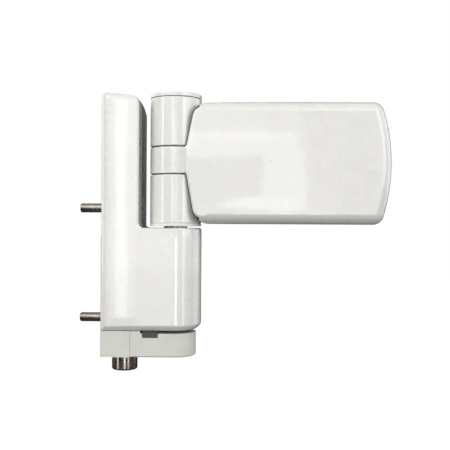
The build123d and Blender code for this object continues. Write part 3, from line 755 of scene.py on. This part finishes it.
def make_gloss(tone):
    """Gloss white enamel: faint orange peel, a slow waviness, a few specks of dust and painted shade in the
    gaps.
    """
    gloss = Finish("white_gloss")
    base = gloss.blend(gloss.spread(gloss.noise(35.0), 0.0, 1.0), darker(tone, 0.985), darker(tone, 1.015))
    base = gloss.blend(gloss.specks(700.0, 0.002), base, DUST)
    # Painted shade: near black and without its coat inside the barrel and beside the sleeves
    shade_mask = painted_shade_mask(gloss)
    base = gloss.blend(shade_mask, base, PAINTED_SHADE)
    wave = gloss.relief(gloss.noise(90.0, 1.0), 30e-6)
    peel = gloss.relief(gloss.noise(650.0, 1.0), 2.0e-6, wave)
    gloss.shade(base=base, rough=gloss.spread(gloss.noise(140.0, 3.0), 0.22, 0.34), normal=peel,
                coat=gloss.inverse(shade_mask), coat_rough=0.03, coat_normal=peel, ior=1.5)


def make_casting(tone):
    """Matt painted die casting: fine grain, slightly cloudy colour and painted shade in the groove under the
    cover.
    """
    cast = Finish("casting_grey")
    base = cast.blend(cast.spread(cast.noise(120.0, 4.0), 0.0, 1.0), darker(tone, 0.95), darker(tone, 1.03))
    base = cast.blend(cast.specks(500.0, 0.004), base, GRIT)
    # Painted shade: the recess under the cover is darkened to near black
    groove_low, groove_high = COVER_LOW.z - 1.15 * MM, COVER_LOW.z + 3.0 * MM
    groove_left, groove_right = 17.0 * MM, 60.0 * MM
    x, _, z = cast.axes()
    groove = cast.product(cast.between(z, groove_low, groove_high),
                          cast.between(x, groove_left, groove_right))
    base = cast.blend(groove, base, GROOVE_SHADE)
    grain = cast.relief(cast.noise(2600.0, 3.0), 12e-6)
    lumps = cast.relief(cast.noise(260.0, 2.0), 30e-6, grain)
    cast.shade(base=base, rough=cast.spread(cast.noise(900.0), 0.50, 0.66), normal=lumps, level=0.4)


def make_bearing(tone):
    """Smooth moulded bearing plastic with faint turning marks."""
    bearing = Finish("white_bearing")
    base = bearing.blend(bearing.spread(bearing.noise(200.0), 0.0, 1.0), darker(tone, 0.97), tone)
    rings = bearing.relief(bearing.noise(40.0, 1.0, (1.0, 1.0, 60.0)), 6e-6)
    bearing.shade(base=base, rough=bearing.spread(bearing.noise(400.0), 0.26, 0.40), normal=rings)


def make_metal(name, tone, stretch, low, high):
    """Bare turned metal: rings left by the tool, stains and a softer gloss where it is worn."""
    metal = Finish(name)
    stain = metal.spread(metal.noise(260.0, 5.0), 0.0, 1.0, 0.35, 0.7)
    base = metal.blend(stain, darker(tone, 0.72), darker(tone, 1.12))
    rings = metal.relief(metal.noise(60.0, 2.0, stretch), 10e-6)
    pits = metal.relief(metal.noise(3000.0, 2.0), 3e-6, rings)
    metal.shade(base=base, metal=1.0, rough=metal.spread(metal.noise(500.0, 4.0), low, high), normal=pits)


def make_clip(tone):
    """Dark moulded spring clip."""
    clip = Finish("dark_clip")
    base = clip.blend(clip.noise(700.0, 3.0), darker(tone, 0.8), darker(tone, 1.3))
    clip.shade(base=base, rough=clip.spread(clip.noise(900.0), 0.42, 0.60),
               normal=clip.relief(clip.noise(2500.0), 8e-6), level=0.35)


# Operators

def settings():
    return bpy.context.scene.flag_hinge


class FLAG_HINGE_OT_finishes(Operator):
    """Make the finishes and give them to the parts that keep their CAD shape"""
    bl_idname = "flag_hinge.finishes"
    bl_label = "Finishes"
    bl_options = {"REGISTER", "UNDO"}

    def execute(self, context):
        tones = settings().finish
        for plain in list(bpy.data.materials):
            plain.name += "_plain"
        make_gloss(tones.gloss)
        make_casting(tones.casting)
        make_bearing(tones.bearing)
        make_metal("bare_pin", tones.pin, (60.0, 1.0, 1.0), 0.16, 0.30)
        make_metal("nickel", tones.nickel, (1.0, 1.0, 40.0), 0.14, 0.26)
        make_clip(tones.clip)
        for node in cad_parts.values():
            for held in node.material_slots:
                held.material = bpy.data.materials[held.material.name.removesuffix("_plain")]
        return {"FINISHED"}


class FLAG_HINGE_OT_cover(Operator):
    """Model the shell of the frame side"""
    bl_idname = "flag_hinge.cover"
    bl_label = "Frame Cover"
    bl_options = {"REGISTER", "UNDO"}

    def execute(self, context):
        make_cover(settings().cover)
        return {"FINISHED"}


class FLAG_HINGE_OT_flag(Operator):
    """Model the shell of the flag with the front of its knuckle"""
    bl_idname = "flag_hinge.flag"
    bl_label = "Flag Cover"
    bl_options = {"REGISTER", "UNDO"}

    def execute(self, context):
        make_flag(settings().flag, settings().barrel)
        return {"FINISHED"}


class FLAG_HINGE_OT_barrel(Operator):
    """Model the two sleeves, the washer and the cap"""
    bl_idname = "flag_hinge.barrel"
    bl_label = "Barrel"
    bl_options = {"REGISTER", "UNDO"}

    def execute(self, context):
        size = settings().barrel
        make_sleeve("sleeve_low", "lower_sleeve", True, size)
        make_sleeve("sleeve_high", "upper_sleeve", False, size)
        make_washer(size)
        make_cap(size)
        return {"FINISHED"}


class FLAG_HINGE_OT_pins(Operator):
    """Model the two locating pins and the lateral spindle"""
    bl_idname = "flag_hinge.pins"
    bl_label = "Pins and Spindle"
    bl_options = {"REGISTER", "UNDO"}

    def execute(self, context):
        size = settings().pins
        make_locating_pin("pin_low", "locating_pin_lower", size)
        make_locating_pin("pin_high", "locating_pin_upper", size)
        make_spindle(size)
        return {"FINISHED"}


def add_lamp(name, place, width, height, radiance, aim=(0.05, 0.0, 0.02)):
    """Rectangular lamp that faces the hinge or another aim, by the brightness of its face."""
    data = bpy.data.lights.new(name, "AREA")
    data.shape, data.size, data.size_y = "RECTANGLE", width, height
    data.energy = pi * width * height * radiance
    lamp = bpy.data.objects.new(name, data)
    bpy.context.scene.collection.objects.link(lamp)
    lamp.location = place
    lamp.rotation_euler = (Vector(aim) - Vector(place)).to_track_quat("-Z", "Y").to_euler()


def brightness(tree, glossy, rest):
    """Brightness of the surroundings: white for the camera, less for a gloss and least for plain light."""
    path = tree.nodes.new("ShaderNodeLightPath").outputs
    in_gloss = math_node(tree, "MULTIPLY", path["Is Glossy Ray"], glossy)
    return math_node(tree, "MAXIMUM", math_node(tree, "MAXIMUM", in_gloss, rest), path["Is Camera Ray"])


class FLAG_HINGE_OT_stage(Operator):
    """Set up the pale floor, the white surroundings, the lamps and the camera"""
    bl_idname = "flag_hinge.stage"
    bl_label = "Stage"
    bl_options = {"REGISTER", "UNDO"}

    def execute(self, context):
        stage = settings().stage
        self.make_floor(stage)
        self.make_card(stage)
        self.make_world(stage)
        self.make_lamps(stage)
        self.make_camera(stage)
        context.scene.view_settings.view_transform = "Standard"
        return {"FINISHED"}

    def make_floor(self, stage):
        """Pale round floor that takes a shadow. What it throws back on the hinge is much darker."""
        tone, bounced, strength = 0.80, 0.15, 0.95
        bm = bmesh.new()
        bmesh.ops.create_circle(bm, cap_ends=True, segments=96, radius=6.0)
        bmesh.ops.translate(bm, verts=bm.verts, vec=(0, 0, stage.floor))
        floor = new_object("floor", bm)
        material = bpy.data.materials.new("pale_floor")
        material.use_nodes = True
        tree = material.node_tree
        tree.nodes.clear()
        seen, bounce = tree.nodes.new("ShaderNodeBsdfDiffuse"), tree.nodes.new("ShaderNodeBsdfDiffuse")
        seen.inputs["Color"].default_value = (tone, tone, tone, 1.0)
        bounce.inputs["Color"].default_value = (bounced, bounced, bounced, 1.0)
        glow, both = tree.nodes.new("ShaderNodeEmission"), tree.nodes.new("ShaderNodeAddShader")
        glow.inputs["Strength"].default_value = strength
        tree.links.new(seen.outputs[0], both.inputs[0])
        tree.links.new(glow.outputs[0], both.inputs[1])
        choice, out = tree.nodes.new("ShaderNodeMixShader"), tree.nodes.new("ShaderNodeOutputMaterial")
        tree.links.new(tree.nodes.new("ShaderNodeLightPath").outputs["Is Camera Ray"], choice.inputs[0])
        tree.links.new(bounce.outputs[0], choice.inputs[1])
        tree.links.new(both.outputs[0], choice.inputs[2])
        tree.links.new(choice.outputs[0], out.inputs["Surface"])
        floor.data.materials.append(material)

    def make_card(self, stage):
        """Dark card behind the set that gives the gloss its dark edges. The camera looks past it."""
        material = bpy.data.materials.new("dark_card")
        material.use_nodes = True
        shader = material.node_tree.nodes["Principled BSDF"]
        shader.inputs["Base Color"].default_value = (0.04, 0.04, 0.04, 1.0)
        shader.inputs["Roughness"].default_value = 0.9
        card = new_object("card_back", block((-1.6, 1.49, stage.floor + 0.01), (1.6, 1.5, 1.8)))
        card.data.materials.append(material)
        card.visible_camera = False

    def make_world(self, stage):
        """White surroundings, weaker for the hinge than for the camera."""
        world = bpy.data.worlds.new("studio")
        bpy.context.scene.world = world
        world.use_nodes = True
        tree = world.node_tree
        tree.nodes.clear()
        sky, out = tree.nodes.new("ShaderNodeBackground"), tree.nodes.new("ShaderNodeOutputWorld")
        sky.inputs["Color"].default_value = (1.0, 1.0, 1.0, 1.0)
        tree.links.new(brightness(tree, stage.gloss, stage.room), sky.inputs["Strength"])
        tree.links.new(sky.outputs[0], out.inputs["Surface"])

    def make_lamps(self, stage):
        """Large soft lamps round the set, then narrow ones in front for the streaks in the gloss."""
        key, strip, reach = stage.key, stage.strip, 0.8
        add_lamp("front_left", (-0.77, -0.97, 0.83), 1.5, 1.1, key * 1.07)
        add_lamp("front_right", (1.19, -0.80, 0.59), 1.1, 1.3, key * 0.93)
        add_lamp("side_left", (-1.36, 0.51, 0.16), 0.9, 0.9, key * 0.45)
        add_lamp("side_right", (1.46, 0.51, 0.16), 0.9, 0.9, key * 0.45)
        add_lamp("top", (0.05, -0.75, 1.33), 1.2, 0.9, key * 0.25)
        add_lamp("back", (-0.55, 1.25, 0.55), 1.4, 1.2, key * 0.45)
        for name, x, z, width, height, share in (
                ("strip_leg", -0.1315, 0.087, 0.027, 0.427, 1.35),
                ("strip_leg_side", -0.1075, 0.087, 0.021, 0.427, 0.6),
                ("strip_rim", -0.1515, 0.087, 0.013, 0.427, 0.5),
                ("glow_low", -0.0575, -0.075, 0.075, 0.17, 0.35),
                ("strip_barrel", -0.066, 0.11, 0.062, 0.17, 0.62),
                ("strip_body", 0.125, -0.125, 0.15, 0.25, 1.5)):
            add_lamp(name, (x, -reach, z), width, height, strip * share, (x, 0.0, z))
        for name, angle, width, share in (("strip_left", radians(-57), 0.11, 1.0),
                                          ("strip_right", radians(40), 0.16, 0.6)):
            place = (AXIS_X + reach * sin(angle), -reach * cos(angle), 0.05)
            add_lamp(name, place, width, 0.7, strip * share)
        add_lamp("glow_high", (0.03, -reach, 0.18), 0.24, 0.08, strip * 0.25, (0.03, 0.0, 0.18))
        behind = 0.002
        for name, x, z, width, height, share in (
                ("patch_top", 0.062, 0.1345, 0.160, 0.036, 0.55),
                ("patch_top_core", 0.058, 0.1325, 0.160, 0.018, 1.8),
                ("patch_low", 0.090, 0.0435, 0.115, 0.020, 0.8),
                ("patch_low_core", 0.092, 0.0395, 0.104, 0.010, 1.3),
                ("patch_tall", 0.1235, 0.082, 0.062, 0.094, 0.6),
                ("patch_core", 0.117, 0.080, 0.028, 0.100, 0.9)):
            add_lamp(name, (x, -reach - behind, z), width, height, strip * share, (x, 0.0, z))

    def make_camera(self, stage):
        data = bpy.data.cameras.new("camera")
        data.lens, data.sensor_width, data.sensor_fit = stage.lens, 36.0, "HORIZONTAL"
        data.clip_start, data.clip_end = 0.01, 50.0
        camera = bpy.data.objects.new("camera", data)
        bpy.context.scene.collection.objects.link(camera)
        pitch, roll, yaw = stage.turn
        level = Matrix.Rotation(yaw, 4, "Z") @ Matrix.Rotation(pitch, 4, "X") @ Matrix.Rotation(roll, 4, "Y")
        camera.matrix_world = Matrix.Translation(stage.camera) @ level @ Matrix.Rotation(pi / 2, 4, "X")
        bpy.context.scene.camera = camera


OPERATORS = (FLAG_HINGE_OT_finishes, FLAG_HINGE_OT_cover, FLAG_HINGE_OT_flag, FLAG_HINGE_OT_barrel,
             FLAG_HINGE_OT_pins, FLAG_HINGE_OT_stage)


class FLAG_HINGE_PT_panel(Panel):
    """The steps of the model in the sidebar"""
    bl_idname = "FLAG_HINGE_PT_panel"
    bl_label = "Flag Hinge"
    bl_space_type = "VIEW_3D"
    bl_region_type = "UI"
    bl_category = "Flag Hinge"

    def draw(self, context):
        for operator in OPERATORS:
            self.layout.operator(operator.bl_idname)


CLASSES = (FLAG_HINGE_PG_cover, FLAG_HINGE_PG_flag, FLAG_HINGE_PG_barrel, FLAG_HINGE_PG_pins,
           FLAG_HINGE_PG_finish, FLAG_HINGE_PG_stage, FLAG_HINGE_PG_settings, *OPERATORS, FLAG_HINGE_PT_panel)


def register():
    for cls in CLASSES:
        bpy.utils.register_class(cls)
    bpy.types.Scene.flag_hinge = PointerProperty(type=FLAG_HINGE_PG_settings, name="Flag hinge",
                                                 description="Sizes, colours and light of the flag hinge")


def unregister():
    del bpy.types.Scene.flag_hinge
    for cls in reversed(CLASSES):
        bpy.utils.unregister_class(cls)


def main():
    register()
    bpy.ops.flag_hinge.finishes()
    bpy.ops.flag_hinge.cover()
    bpy.ops.flag_hinge.flag()
    bpy.ops.flag_hinge.barrel()
    bpy.ops.flag_hinge.pins()
    bpy.ops.flag_hinge.stage()


if __name__ == "__main__":
    main()
